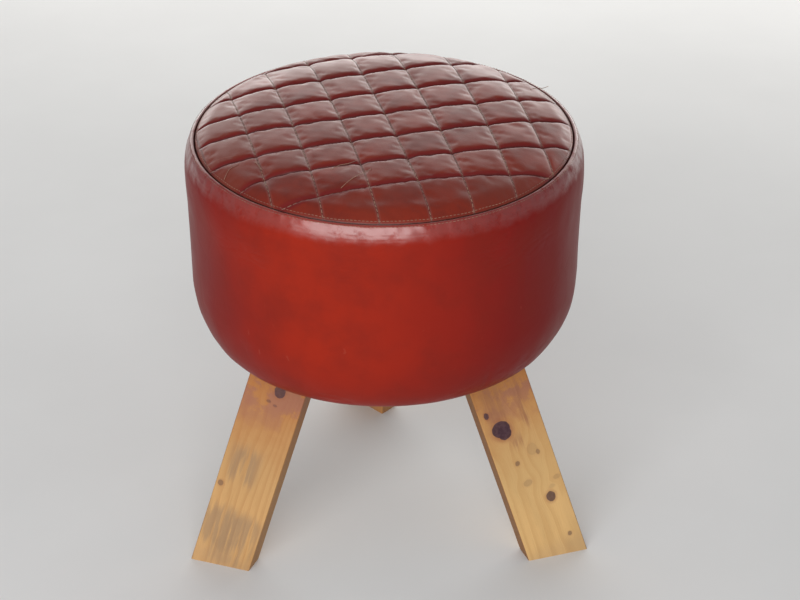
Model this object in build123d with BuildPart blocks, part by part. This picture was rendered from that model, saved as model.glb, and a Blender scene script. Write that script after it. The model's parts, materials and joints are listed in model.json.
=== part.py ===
from build123d import *

import os
from math import acos, atan, atan2, cos, degrees, hypot, radians, sin, sqrt, tan

# A round leather pouf on three splayed plank legs.
# Millimetres, Z up, the floor at zero. The origin lies on the floor under the middle of the
# footprint. The drum's axis stands a little in front of it, because the rear foot reaches out.

# Overall form of the drum
drum_radius = 190.0
underside_height = 226.0
wall_height = 206.0
seam_radius = 181.0
crown_rise = 20.0

# Leather wall, called the band
band_leather = 1.6
bottom_roll_width = 32.0
bottom_roll_height = 67.0
shoulder_radius = 358.0
top_fold_radius = 2.0
seam_allowance = 10.0
hem_width = 36.0
back_seam_gap = 0.4

# Quilted top: its leather, crown, square quilting and the layers under it
top_leather = 1.4
crown_middle_radius = 2000.0
crown_edge_radius = 150.0
quilt_pitch = 44.7
quilt_turn = 10.4
quilt_shift_along = 1.0
quilt_shift_across = 4.5
valley_depth = 4.8
puff_across = 4.4
puff_along = 5.2
outer_crossing_rise = 3.0
wadding_at_valley = 0.9
backing_cloth = 0.6

# Padding
side_foam_thickness = 32.0
seat_foam_at_seam = 45.0

# Wooden drum frame
hoop_thickness = 4.0
hoop_joint_gap = 1.0
base_board_thickness = 18.0
top_board_thickness = 15.0
post_width = 34.0
post_ring_radius = 118.0
post_housing = 5.0
post_bearings = {"front": -90.0, "left": 150.0, "right": 30.0}

# Legs: the plank, its splay and how far out its foot stands
leg_width = 62.0
leg_thickness = 22.0
leg_edge_round = 1.5
leg_splay = 21.0
foot_radius = 193.0
block_thickness = 30.0
block_height = 92.0

# For each leg, the bearing of its foot from the drum's axis and the bearing its broad face looks to
leg_bearings = {"left": (-151.2, -112.3), "right": (-30.0, -75.4), "rear": (92.6, 41.6)}

# Hexagon bolts that hold each leg to its block, over square plate washers
bolt_diameter = 8.0
bolt_head_height = 5.3
bolt_end = 3.0
bolt_side_step = 13.0
first_bolt_rise = 56.0
second_bolt_rise = 88.0
washer_width = 24.0
washer_thickness = 1.6
hexagon_across_flats = 13.0
nut_height = 6.5

# Countersunk wood screws
screw_diameter = 4.5
screw_head_diameter = 9.0
screw_head_height = 2.8
screw_length = 36.0
screw_side_step = 15.0

# Cut tacks, with square shanks and hammered heads, and the cloth under the drum
tack_head_diameter = 7.0
tack_head_height = 0.8
tack_head_sides = 8
tack_shank_width = 1.6
tack_length = 9.0
hem_tack_inset = 7.0
hem_tack_count = 14
dust_cloth = 0.8
dust_cover_radius = 150.0
dust_tack_inset = 5.0
dust_tack_count = 12

# Small round fasteners and their holes are drawn with this many sides, and the fold at the seam
# with flats that meet on these bearings
round_sides = 12
hexagon_sides = 6
fold_bearings = (180.0, 120.0, 60.0)

# Clearances
soft_gap = 0.3
layer_gap = 0.2
wood_gap = 0.3
bolt_gap = 0.25
cloth_slit_gap = 1.0

# How late a valley fades out towards the seam
valley_fade_power = 8

# Heights that follow from the sizes above
seam_height = underside_height + wall_height
base_board_bottom = underside_height + band_leather
base_board_top = base_board_bottom + base_board_thickness
top_board_top = seam_height - seat_foam_at_seam
top_board_bottom = top_board_top - top_board_thickness
inner_inset = band_leather + soft_gap
layers_under_top = valley_depth + top_leather + wadding_at_valley

# Radii that follow from the sizes above
flat_radius = drum_radius - bottom_roll_width
hem_radius = flat_radius - hem_width
hoop_outer_radius = drum_radius - inner_inset - side_foam_thickness - soft_gap
hoop_inner_radius = hoop_outer_radius - hoop_thickness
board_radius = hoop_inner_radius - layer_gap
under_top_radius = seam_radius - top_leather - soft_gap

# The band's shoulder is one long arc that ends in the small fold at the seam
fold_centre = (seam_radius + layer_gap + top_fold_radius, seam_height - top_fold_radius)
shoulder_centre_x = drum_radius - shoulder_radius
shoulder_run = fold_centre[0] - shoulder_centre_x
shoulder_rise = sqrt((shoulder_radius - top_fold_radius) ** 2 - shoulder_run**2)
shoulder_bottom = fold_centre[1] - shoulder_rise
shoulder_angle = atan2(shoulder_rise, shoulder_run)

# The crown is a flat arc over the middle and a tighter one that runs down to the seam
crown_top = seam_height + crown_rise
crown_centre_height = crown_top - crown_middle_radius
seam_drop = seam_height - crown_centre_height
centre_step = crown_middle_radius - crown_edge_radius
seam_distance = hypot(seam_radius, seam_drop)
reach_along = (seam_distance**2 + centre_step**2 - crown_edge_radius**2) / (2 * centre_step)
crown_turn = atan2(seam_radius, seam_drop) - acos(reach_along / seam_distance)
crown_join_radius = crown_middle_radius * sin(crown_turn)
edge_centre = (centre_step * sin(crown_turn), crown_centre_height + centre_step * cos(crown_turn))


def plank_directions(name):
    """Unit vectors of one leg: across its width, out of its broad face, and up along it."""
    foot_bearing, face_bearing = (radians(bearing) for bearing in leg_bearings[name])
    splay = radians(leg_splay)
    along = Vector(-sin(splay) * cos(foot_bearing), -sin(splay) * sin(foot_bearing), cos(splay))
    tip = atan(tan(splay) * cos(foot_bearing - face_bearing))
    outward = Vector(cos(tip) * cos(face_bearing), cos(tip) * sin(face_bearing), sin(tip))
    return outward.cross(along), outward, along


def foot_corner_y(name, width_side, face_side):
    """How far back one corner of a foot lies from the drum's axis, on the floor."""
    across, outward, along = plank_directions(name)
    corner = across * (width_side * leg_width / 2) + outward * (face_side * leg_thickness / 2)
    on_floor = corner - along * (corner.Z / along.Z)
    return foot_radius * sin(radians(leg_bearings[name][0])) + on_floor.Y


# The drum's axis is set so that the footprint's middle is the origin
rear_reach = max(foot_corner_y("rear", side, face) for side in (-1, 1) for face in (-1, 1))
drum_y = (drum_radius - rear_reach) / 2
drum_axis = Axis((0, drum_y, 0), (0, 0, 1))
side_view = Plane(origin=(0, drum_y, 0), x_dir=(1, 0, 0), z_dir=(0, -1, 0))


def level(height):
    """A level plane on the drum's axis."""
    return Plane(origin=(0, drum_y, height))


def leg_plane(name):
    """At the middle of a foot: x across the plank, y out of its broad face, z up along it."""
    across, _, along = plank_directions(name)
    bearing = radians(leg_bearings[name][0])
    foot = (foot_radius * cos(bearing), foot_radius * sin(bearing) + drum_y, 0)
    return Plane(origin=foot, x_dir=across, z_dir=along)


def bolt_planes(name, inward):
    """Planes square to a leg's two bolts, this far in from the leg's outer face, looking outward."""
    plank = leg_plane(name)
    planes = []
    for rise, side in ((first_bolt_rise, -1), (second_bolt_rise, 1)):
        along = (base_board_bottom + rise) / plank.z_dir.Z
        place = (side * bolt_side_step, leg_thickness / 2 - inward, along)
        planes.append(Plane(origin=plank.from_local_coords(place), x_dir=plank.x_dir, z_dir=plank.y_dir))
    return planes


def block_screw_places(name):
    """Where the two screws of a leg's block come up through the base board."""
    plank = leg_plane(name)
    face_bearing = radians(leg_bearings[name][1])
    face_line = Vector(-sin(face_bearing), cos(face_bearing), 0)
    inward = (leg_thickness + block_thickness) / 2
    seat = plank.from_local_coords((0, -inward, 0))
    seat = seat + plank.z_dir * ((base_board_top - seat.Z) / plank.z_dir.Z)
    return [seat + face_line * (side * screw_side_step) for side in (-1, 1)]


def leg_passage(name, gap):
    """The space that a leg takes, widened by a gap, for cutting its slots."""
    with BuildPart() as passage:
        with BuildSketch(leg_plane(name)):
            Rectangle(leg_width + 2 * gap, leg_thickness + 2 * gap)
        extrude(amount=top_board_bottom, both=True)
    return passage.part


def clear_of_legs(x, y, height, margin):
    """True where a point on the underside keeps this margin from every leg."""
    for name in leg_bearings:
        from_foot = leg_plane(name).to_local_coords(Vector(x, y, height))
        beside = abs(from_foot.X) < leg_width / 2 + margin
        if beside and abs(from_foot.Y) < leg_thickness / 2 + margin:
            return False
    return True


def wall_end(inset, share=1):
    """A point on the shoulder, this far inside the leather. At a share of 1 it is where the fold starts."""
    angle = shoulder_angle * share
    reach = shoulder_radius - inset
    return shoulder_centre_x + reach * cos(angle), shoulder_bottom + reach * sin(angle)


def draw_wall(inset):
    """The drum's side from the hem up to the fold, this far inside the leather's outer face."""
    roll_top = underside_height + bottom_roll_height
    roll_size = (bottom_roll_width - inset, bottom_roll_height - inset)
    Line((hem_radius, underside_height + inset), (flat_radius, underside_height + inset))
    EllipticalCenterArc((flat_radius, roll_top), *roll_size, start_angle=270, arc_size=90)
    Line((drum_radius - inset, roll_top), (drum_radius - inset, shoulder_bottom))
    ThreePointArc(wall_end(inset, 0), wall_end(inset, 0.5), wall_end(inset))


def crown_height(radius):
    """Height of the puffed crown at a distance from the drum's axis."""
    if radius < crown_join_radius:
        return crown_centre_height + sqrt(crown_middle_radius**2 - radius**2)
    run = min(radius, seam_radius) - edge_centre[0]
    return edge_centre[1] + sqrt(crown_edge_radius**2 - run**2)


def crown_form(radius, drop, bottom):
    """A solid under the smooth crown, lowered by a drop and cut off at a radius and a bottom."""
    join = (crown_join_radius, crown_height(crown_join_radius) - drop)
    middle = crown_join_radius / 2
    edge_middle = (crown_join_radius + radius) / 2
    rim_top = (radius, crown_height(radius) - drop)
    with BuildPart() as form:
        with BuildSketch(side_view):
            with BuildLine():
                ThreePointArc((0, crown_top - drop), (middle, crown_height(middle) - drop), join)
                ThreePointArc(join, (edge_middle, crown_height(edge_middle) - drop), rim_top)
                Polyline(rim_top, (radius, bottom), (0, bottom), (0, crown_top - drop))
            make_face()
        revolve(axis=drum_axis)
    return form.part


def quilt_places(shift):
    """Where one family of quilting lines stands, from past the seam on one side to past it on the other."""
    first = -int((seam_radius + shift) // quilt_pitch) - 1
    last = int((seam_radius - shift) // quilt_pitch) + 1
    return [shift + quilt_pitch * step for step in range(first, last + 1)]


def crossing_height(along, across):
    """Height of the stitched leather where two lines cross. Past the seam it stays above the rim."""
    radius = hypot(along, across)
    if radius >= seam_radius:
        return seam_height + outer_crossing_rise
    fade = 1 - (radius / seam_radius) ** valley_fade_power
    return crown_height(radius) - valley_depth * fade


def ridged_form(direction, stations, lines, puff):
    """A solid whose top is a row of soft ridges that run along a direction, one between two lines."""
    side = Vector(-direction.Y, direction.X, 0)
    bottom = seam_height - 2 * seam_allowance
    with BuildPart() as ridges:
        for station in stations:
            centre = direction * station + Vector(0, drum_y, 0)
            tops = [(line, crossing_height(station, line)) for line in lines]
            with BuildSketch(Plane(origin=centre, x_dir=side, z_dir=direction)):
                with BuildLine():
                    for left, right in zip(tops, tops[1:]):
                        middle = ((left[0] + right[0]) / 2, (left[1] + right[1]) / 2 + puff)
                        ThreePointArc(left, middle, right)
                    Polyline(tops[-1], (tops[-1][0], bottom), (tops[0][0], bottom), tops[0])
                make_face()
        loft(ruled=True)
    return ridges.part


def post_form(bearing, gap):
    """A post, let into both boards, or with a gap the space that it takes."""
    angle = radians(bearing)
    place = (post_ring_radius * cos(angle), post_ring_radius * sin(angle) + drum_y, 0)
    width = post_width + 2 * gap
    with BuildPart() as form:
        with BuildSketch(Plane.XY.offset(base_board_top - post_housing)):
            with Locations(Location(place, (0, 0, bearing))):
                Rectangle(width, width)
        extrude(amount=top_board_bottom - base_board_top + 2 * post_housing)
    return form.part


def wood_screw(gap):
    """A countersunk wood screw with its head at z = 0 and its point down, or its hole with a gap."""
    with BuildPart() as screw:
        with BuildSketch():
            RegularPolygon(screw_head_diameter / 2 + gap, round_sides)
        with BuildSketch(Plane.XY.offset(-screw_head_height - gap)):
            RegularPolygon(screw_diameter / 2 + gap, round_sides)
        loft()
        with BuildSketch():
            RegularPolygon(screw_diameter / 2 + gap, round_sides)
        extrude(amount=-screw_length - gap)
    return screw.part


def tack(gap):
    """An upholstery tack with its head under z = 0 and its shank up, or its hole with a gap."""
    with BuildPart() as form:
        with BuildSketch():
            Rectangle(tack_shank_width + 2 * gap, tack_shank_width + 2 * gap)
        extrude(amount=tack_length + gap)
        with BuildSketch():
            RegularPolygon(tack_head_diameter / 2 + gap, tack_head_sides)
        extrude(amount=-tack_head_height)
    return form.part


def tack_spots(radius, count, height):
    """Places of a ring of tacks on the underside, left out where a leg is in the way."""
    spots = []
    for index in range(count):
        angle = radians(360 * (index + 0.5) / count)
        x, y = radius * cos(angle), radius * sin(angle) + drum_y
        if clear_of_legs(x, y, height, tack_head_diameter / 2 + 2 * cloth_slit_gap):
            spots.append(Location((x, y, height)))
    return spots


def save(builder, name):
    """Name a finished piece and write it out."""
    builder.part.label = name
    export_step(builder.part, f"parts/{name}.step")


os.makedirs("parts", exist_ok=True)
leg_ring = list(leg_bearings)

# Screws rise through the base board into the blocks, so each is turned over with its head down
head_down = (180, 0, 0)
block_screw_spots = [
    Location((place.X, place.Y, base_board_bottom), head_down)
    for name in leg_ring
    for place in block_screw_places(name)
]

hem_tack_spots = tack_spots(hem_radius + hem_tack_inset, hem_tack_count, underside_height)
dust_cover_top = underside_height - tack_head_height
dust_cover_bottom = dust_cover_top - dust_cloth
dust_tack_spots = tack_spots(dust_cover_radius - dust_tack_inset, dust_tack_count, dust_cover_bottom)

# Legs, each with the block that it is bolted to
for name in leg_ring:
    plank = leg_plane(name)
    with BuildPart() as leg:
        with BuildSketch(plank):
            Rectangle(leg_width, leg_thickness)
        extrude(amount=top_board_bottom + leg_width * 2, both=True)
        fillet(leg.edges().filter_by(Axis(plank.origin, plank.z_dir)), radius=leg_edge_round)
        split(bisect_by=Plane.XY, keep=Keep.TOP)
        split(bisect_by=Plane.XY.offset(top_board_bottom), keep=Keep.BOTTOM)
        with BuildSketch(*bolt_planes(name, 0)):
            RegularPolygon(bolt_diameter / 2 + bolt_gap, round_sides)
        extrude(amount=-leg_thickness, mode=Mode.SUBTRACT)
    save(leg, f"{name}_leg")

    with BuildPart() as block:
        with BuildSketch(plank):
            with Locations((0, -(leg_thickness + block_thickness) / 2)):
                Rectangle(leg_width, block_thickness)
        extrude(amount=top_board_bottom + leg_width)
        split(bisect_by=Plane.XY.offset(base_board_top), keep=Keep.TOP)
        split(bisect_by=Plane.XY.offset(base_board_top + block_height), keep=Keep.BOTTOM)
        with BuildSketch(*bolt_planes(name, leg_thickness)):
            RegularPolygon(bolt_diameter / 2 + bolt_gap, round_sides)
        extrude(amount=-block_thickness, mode=Mode.SUBTRACT)
        with Locations(*block_screw_spots):
            add(wood_screw(layer_gap), mode=Mode.SUBTRACT)
    save(block, f"{name}_leg_block")

# Bolts, plate washers and nuts, two of each to a leg
grip = leg_thickness + block_thickness
with BuildPart() as leg_bolts:
    for name in leg_ring:
        with BuildSketch(*bolt_planes(name, 0)):
            RegularPolygon(bolt_diameter / 2, round_sides)
        extrude(amount=-(grip + washer_thickness + nut_height + bolt_end))
        with BuildSketch(*bolt_planes(name, 0)):
            RegularPolygon(hexagon_across_flats / 2, hexagon_sides, major_radius=False)
        extrude(amount=bolt_head_height)
save(leg_bolts, "leg_bolts")

with BuildPart() as leg_washers:
    for name in leg_ring:
        with BuildSketch(*bolt_planes(name, grip)):
            Rectangle(washer_width, washer_width)
            RegularPolygon(bolt_diameter / 2 + bolt_gap, round_sides, mode=Mode.SUBTRACT)
        extrude(amount=-washer_thickness)
save(leg_washers, "leg_washers")

with BuildPart() as leg_nuts:
    for name in leg_ring:
        with BuildSketch(*bolt_planes(name, grip + washer_thickness)):
            RegularPolygon(hexagon_across_flats / 2, hexagon_sides, major_radius=False)
            RegularPolygon(bolt_diameter / 2 + bolt_gap, round_sides, mode=Mode.SUBTRACT)
        extrude(amount=-nut_height)
save(leg_nuts, "leg_nuts")

# Base board with a slot for each leg
with BuildPart() as base_board:
    with BuildSketch(level(base_board_bottom)):
        Circle(board_radius)
    extrude(amount=base_board_thickness)
    add([leg_passage(name, wood_gap) for name in leg_ring], mode=Mode.SUBTRACT)
    add([post_form(bearing, layer_gap) for bearing in post_bearings.values()], mode=Mode.SUBTRACT)
    with Locations(*block_screw_spots):
        add(wood_screw(layer_gap), mode=Mode.SUBTRACT)
    with Locations(*hem_tack_spots, *dust_tack_spots):
        add(tack(layer_gap), mode=Mode.SUBTRACT)
save(base_board, "base_board")

with BuildPart() as top_board:
    with BuildSketch(level(top_board_bottom)):
        Circle(board_radius)
    extrude(amount=top_board_thickness)
    add([post_form(bearing, layer_gap) for bearing in post_bearings.values()], mode=Mode.SUBTRACT)
save(top_board, "top_board")

# Hoop of thin plywood bent round the boards, with its joint at the back
with BuildPart() as drum_hoop:
    with BuildSketch(level(base_board_bottom)):
        Circle(hoop_outer_radius)
        Circle(hoop_inner_radius, mode=Mode.SUBTRACT)
        with Locations((0, hoop_outer_radius)):
            Rectangle(hoop_joint_gap, hoop_thickness * 3, mode=Mode.SUBTRACT)
    extrude(amount=top_board_top - base_board_bottom)
save(drum_hoop, "drum_hoop")

# Posts between the boards
for name, bearing in post_bearings.items():
    with BuildPart() as post:
        add(post_form(bearing, 0))
    save(post, f"{name}_post")

with BuildPart() as block_screws:
    with Locations(*block_screw_spots):
        add(wood_screw(0))
save(block_screws, "block_screws")

# Padding inside the wall, then the cushion above the boards
with BuildPart() as wall_space:
    with BuildSketch(side_view):
        with BuildLine():
            draw_wall(inner_inset)
            top = wall_end(inner_inset)
            bottom = underside_height + inner_inset
            Polyline(top, (0, top[1]), (0, bottom), (hem_radius, bottom))
        make_face()
    revolve(axis=drum_axis)

with BuildPart() as side_foam:
    add(wall_space.part)
    split(bisect_by=Plane.XY.offset(top_board_top), keep=Keep.BOTTOM)
    with BuildSketch(level(underside_height)):
        Circle(hoop_outer_radius + soft_gap)
    extrude(amount=wall_height, mode=Mode.SUBTRACT)
save(side_foam, "side_foam")

foam_drop = layers_under_top + backing_cloth + 2 * layer_gap
seam_clear_height = seam_height - seam_allowance - soft_gap
with BuildPart() as seat_foam:
    add(wall_space.part)
    split(bisect_by=Plane.XY.offset(top_board_top), keep=Keep.TOP)
    split(bisect_by=Plane.XY.offset(seam_clear_height), keep=Keep.BOTTOM)
    add(crown_form(under_top_radius, foam_drop, top_board_top))
save(seat_foam, "seat_foam")

# The quilted crown, from which the leather and the wadding are cut: soft ridges both ways, crossed
line_way = Vector(cos(radians(quilt_turn)), sin(radians(quilt_turn)), 0)
row_way = Vector(-line_way.Y, line_way.X, 0)
along_places = quilt_places(quilt_shift_along)
across_places = quilt_places(quilt_shift_across)
mirrored_places = [-place for place in reversed(along_places)]

with BuildPart() as quilted_crown:
    add(crown_form(seam_radius, 0, seam_height - seam_allowance))
    add(ridged_form(line_way, along_places, across_places, puff_across), mode=Mode.INTERSECT)
    add(ridged_form(row_way, across_places, mirrored_places, puff_along), mode=Mode.INTERSECT)

with BuildPart() as under_leather:
    with Locations((0, 0, -top_leather)):
        add(quilted_crown.part)
    with BuildSketch(level(seam_height - 2 * seam_allowance)):
        Circle(seam_radius - top_leather)
    extrude(amount=2 * seam_allowance + crown_rise, mode=Mode.INTERSECT)

with BuildPart() as top_cover:
    add(quilted_crown.part)
    add(under_leather.part, mode=Mode.SUBTRACT)
save(top_cover, "top_cover")

with BuildPart() as quilt_wadding:
    add(under_leather.part)
    with BuildSketch(level(seam_height - 2 * seam_allowance)):
        Circle(under_top_radius)
    extrude(amount=2 * seam_allowance + crown_rise, mode=Mode.INTERSECT)
    below = seam_height - 2 * seam_allowance
    add(crown_form(seam_radius, layers_under_top, below), mode=Mode.SUBTRACT)
save(quilt_wadding, "quilt_wadding")

with BuildPart() as quilt_backing:
    below = seam_height - 2 * seam_allowance
    add(crown_form(under_top_radius, layers_under_top + layer_gap, below))
    cloth_drop = layers_under_top + layer_gap + backing_cloth
    add(crown_form(seam_radius, cloth_drop, below - seam_allowance), mode=Mode.SUBTRACT)
save(quilt_backing, "quilt_backing")

# Leather wall: one strip from the fold at the seam down to the hem, its ends meeting at the back
with BuildPart() as side_band:
    with BuildSketch(side_view):
        with BuildLine():
            draw_wall(0)
            draw_wall(band_leather)
            lip_bottom = seam_height - seam_allowance
            lip_x = seam_radius + layer_gap
            fold_points = []
            for bearing in (*fold_bearings, degrees(shoulder_angle)):
                angle = radians(bearing)
                lift = (top_fold_radius * cos(angle), top_fold_radius * sin(angle))
                fold_points.append((fold_centre[0] + lift[0], fold_centre[1] + lift[1]))
            Polyline(*fold_points)
            inner_fold = (lip_x + band_leather, fold_centre[1])
            Polyline(fold_points[0], (lip_x, lip_bottom), (lip_x + band_leather, lip_bottom), inner_fold)
            Line(inner_fold, wall_end(band_leather))
            Line((hem_radius, underside_height), (hem_radius, base_board_bottom))
        make_face()
    revolve(axis=drum_axis)
    add([leg_passage(name, cloth_slit_gap) for name in leg_ring], mode=Mode.SUBTRACT)
    with BuildSketch(level(dust_cover_bottom)):
        with Locations((0, drum_radius)):
            Rectangle(back_seam_gap, drum_radius)
    extrude(amount=wall_height + crown_rise, mode=Mode.SUBTRACT)
    with Locations(*hem_tack_spots, *dust_tack_spots):
        add(tack(layer_gap), mode=Mode.SUBTRACT)
save(side_band, "side_band")

# Cloth under the drum, and the tacks
with BuildPart() as dust_cover:
    with BuildSketch(level(dust_cover_bottom)):
        Circle(dust_cover_radius)
    extrude(amount=dust_cloth)
    add([leg_passage(name, cloth_slit_gap) for name in leg_ring], mode=Mode.SUBTRACT)
    with Locations(*dust_tack_spots):
        add(tack(layer_gap), mode=Mode.SUBTRACT)
save(dust_cover, "dust_cover")

for name, spots in (("hem_tacks", hem_tack_spots), ("dust_cover_tacks", dust_tack_spots)):
    with BuildPart() as tacks:
        with Locations(*spots):
            add(tack(0))
    save(tacks, name)
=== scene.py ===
# %% [markdown]
# # A quilted leather pouf on three plank legs
# The pouf is a drum: a wooden frame, padding, a plain leather wall, and a quilted leather panel on
# top. Three pine planks are bolted inside it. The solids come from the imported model, and this
# lesson dresses them. Soft pieces are rebuilt as fine meshes, stitches and tacks are set out by
# Geometry Nodes, and each surface gets a material made of nodes.

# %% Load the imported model
import json
import math
from contextlib import contextmanager
from functools import partial

import bmesh
import bpy
import numpy as np
from mathutils import Matrix, Vector
from mathutils.kdtree import KDTree


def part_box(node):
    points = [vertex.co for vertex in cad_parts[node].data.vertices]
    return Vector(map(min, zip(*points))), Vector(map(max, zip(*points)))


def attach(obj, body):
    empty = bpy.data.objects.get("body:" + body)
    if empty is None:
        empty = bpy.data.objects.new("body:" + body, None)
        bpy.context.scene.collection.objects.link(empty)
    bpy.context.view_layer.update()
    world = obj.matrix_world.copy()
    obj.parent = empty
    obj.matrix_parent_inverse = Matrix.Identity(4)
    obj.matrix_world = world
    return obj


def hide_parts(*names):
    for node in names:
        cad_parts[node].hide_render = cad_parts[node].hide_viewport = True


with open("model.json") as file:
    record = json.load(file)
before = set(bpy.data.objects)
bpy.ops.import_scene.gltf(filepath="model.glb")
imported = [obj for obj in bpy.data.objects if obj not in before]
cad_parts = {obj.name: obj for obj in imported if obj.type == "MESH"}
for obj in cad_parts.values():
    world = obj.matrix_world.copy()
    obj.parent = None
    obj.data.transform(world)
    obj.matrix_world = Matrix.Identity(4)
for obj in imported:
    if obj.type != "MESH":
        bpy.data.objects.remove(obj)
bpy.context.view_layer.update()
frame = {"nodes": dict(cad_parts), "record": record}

nodes = frame["nodes"]

# %% [markdown]
# Lengths are in millimetres, and turn into metres when a mesh is made. The drum's axis, radii and
# underside are read from the model, so the soft pieces stay on the wood that carries them.

# %% Sizes of the drum
MM = 0.001


def half_width(node):
    low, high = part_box(node)
    return (high.x - low.x) / 2 / MM


band_low, band_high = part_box("side_band")
axis_y = (band_low.y + band_high.y) / 2 / MM
drum_radius, panel_radius = half_width("side_band"), half_width("top_cover")
wall_height, underside = 206, band_low.z / MM
seam_height = underside + wall_height
panel_edge = panel_radius - 0.5
quilt_pitch, quilt_turn, quilt_start = 44.7, math.radians(10.4), (1.0, 4.5)
quilt_cos, quilt_sin = math.cos(quilt_turn), math.sin(quilt_turn)
print("drum radius", drum_radius, "panel radius", panel_radius, "axis y", round(axis_y, 2))

# %% [markdown]
# Short helpers are used all through. Some make an object from points and faces, give a sheet its
# thickness, or freeze modifiers into a plain mesh. The others add a node in a single line.


# %% Helpers for meshes
def new_object(name, data):
    made = bpy.data.objects.new(name, data)
    bpy.context.scene.collection.objects.link(made)
    return made


def make_piece(name, points, faces, edges=()):
    """A new object at the origin from points in millimetres round the drum's axis."""
    points = np.asarray(points, float) * MM
    points[:, 1] += axis_y * MM
    mesh = bpy.data.meshes.new(name)
    mesh.from_pydata(points.tolist(), list(edges), list(faces))
    mesh.update()
    return new_object(name, mesh)


def freeze(piece):
    """Turn a piece and its modifiers into one plain mesh."""
    graph = bpy.context.evaluated_depsgraph_get()
    graph.update()
    mesh = bpy.data.meshes.new_from_object(piece.evaluated_get(graph))
    piece.modifiers.clear()
    if piece.type == "MESH":
        piece.data = mesh
        return piece
    name = piece.name
    bpy.data.objects.remove(piece)
    return new_object(name, mesh)


def smooth(piece):
    piece.data.polygons.foreach_set("use_smooth", [True] * len(piece.data.polygons))


def thicken(piece, thickness, offset=-1):
    """Make a sheet thick, in from its face (offset -1) or out from it (offset 1)."""
    solid = piece.modifiers.new("thickness", "SOLIDIFY")
    solid.thickness, solid.offset = thickness * MM, offset
    smooth(piece)
    freeze(piece)


@contextmanager
def opened(piece):
    """Open a piece's mesh for changes. Its faces are turned outward when it closes."""
    work = bmesh.new()
    work.from_mesh(piece.data)
    yield work
    bmesh.ops.recalc_face_normals(work, faces=work.faces)
    work.to_mesh(piece.data)
    work.free()


def round_axis(radius, angle, height):
    """Points from their distance to the axis, their bearing and their height."""
    return np.stack([radius * np.cos(angle), radius * np.sin(angle), height], -1).reshape(-1, 3)


def quads(rows, columns, row_steps, column_steps):
    """A grid's cells as faces. As many steps as points also joins the last to the first."""
    def corner(i, j):
        return i % rows * columns + j % columns

    return [(corner(i, j), corner(i, j + 1), corner(i + 1, j + 1), corner(i + 1, j))
            for i in range(row_steps) for j in range(column_steps)]


def report(piece):
    mesh = piece.data
    mesh.calc_loop_triangles()
    print(piece.name, "points", len(mesh.vertices), "triangles", len(mesh.loop_triangles))


# %% Helpers for nodes
def feed(node, inputs):
    """Set a node's inputs, or link them where a socket is given."""
    for key, value in inputs.items():
        if isinstance(value, bpy.types.NodeSocket):
            node.id_data.links.new(value, node.inputs[key])
        else:
            node.inputs[key].default_value = value


def add(kind, inputs, tree=None, **settings):
    """Add a node to the tree that its inputs come from. Gives its outputs."""
    sources = [v.id_data for v in inputs.values() if isinstance(v, bpy.types.NodeSocket)]
    node = (tree or sources[0]).nodes.new(kind)
    for key, value in settings.items():
        setattr(node, key, value)
    feed(node, inputs)
    return node.outputs


def maths(operation, *values, **settings):
    return add("ShaderNodeMath", dict(enumerate(values)), operation=operation, **settings)[0]


times, plus, minus, over = (
    partial(maths, kind) for kind in ("MULTIPLY", "ADD", "SUBTRACT", "DIVIDE"))


def vectors(operation, first, second):
    second_name = "Scale" if operation == "SCALE" else 1
    return add("ShaderNodeVectorMath", {0: first, second_name: second}, operation=operation)[0]


def length_of(vector):
    return add("ShaderNodeVectorMath", {0: vector}, operation="LENGTH")["Value"]


def split(vector):
    return add("ShaderNodeSeparateXYZ", {0: vector})


def join(x, y, z):
    return add("ShaderNodeCombineXYZ", {0: x, 1: y, 2: z})[0]


def scaled(vector, *scale, turned=(0.0, 0.0, 0.0)):
    return add("ShaderNodeMapping", {"Vector": vector, "Rotation": turned, "Scale": scale})[0]


def ramp(value, low, high):
    """Nought at low, one at high, with soft ends."""
    inputs = {0: value, 1: low, 2: high}
    return add("ShaderNodeMapRange", inputs, interpolation_type="SMOOTHSTEP")[0]


def mix(share, first, second):
    """Mix two colours, each a socket or three numbers."""
    first, second = ((*c, 1.0) if isinstance(c, tuple) else c for c in (first, second))
    return add("ShaderNodeMix", {0: share, 6: first, 7: second}, data_type="RGBA")[2]


def stain(under, *layers):
    """Lay colours over another one, each given as (mask, strength, colour)."""
    for mask, strength, tint in layers:
        under = mix(times(mask, strength), under, tint)
    return under


def noise(vector, scale, detail=4.0, roughness=0.55):
    return add("ShaderNodeTexNoise", {"Vector": vector, "Scale": scale, "Detail": detail,
                                      "Roughness": roughness})[0]


def bump(height, strength, distance, normal=None):
    under = {"Normal": normal} if normal else {}
    return add("ShaderNodeBump", {"Height": height, "Strength": strength, "Distance": distance,
                                  **under})[0]


def with_spaces(inputs):
    return {name.replace("_", " "): value for name, value in inputs.items()}


def new_material(name, surface, *values):
    """A material with one Principled shader. surface gives what its sockets take."""
    material = bpy.data.materials.new(name)
    material.use_nodes = True
    tree = material.node_tree
    tree.nodes.clear()
    shader = tree.nodes.new("ShaderNodeBsdfPrincipled")
    add("ShaderNodeOutputMaterial", {0: shader.outputs[0]})
    place = tree.nodes.new("ShaderNodeTexCoord").outputs["Object"]
    feed(shader, with_spaces(surface(place, *values)))
    return material


def new_group(name, inputs, outputs, inside):
    """A shader group. A socket that starts with a number is one, any other is a vector."""
    group = bpy.data.node_groups.new(name, "ShaderNodeTree")
    for in_out, sockets in (("INPUT", inputs), ("OUTPUT", outputs)):
        for label, value in sockets.items():
            kind = "NodeSocketFloat" if isinstance(value, float) else "NodeSocketVector"
            socket = group.interface.new_socket(name=label, in_out=in_out, socket_type=kind)
            if value is not None:
                socket.default_value = value
    made = inside(group.nodes.new("NodeGroupInput").outputs)
    feed(group.nodes.new("NodeGroupOutput"), dict(zip(outputs, made)))
    return group


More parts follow.
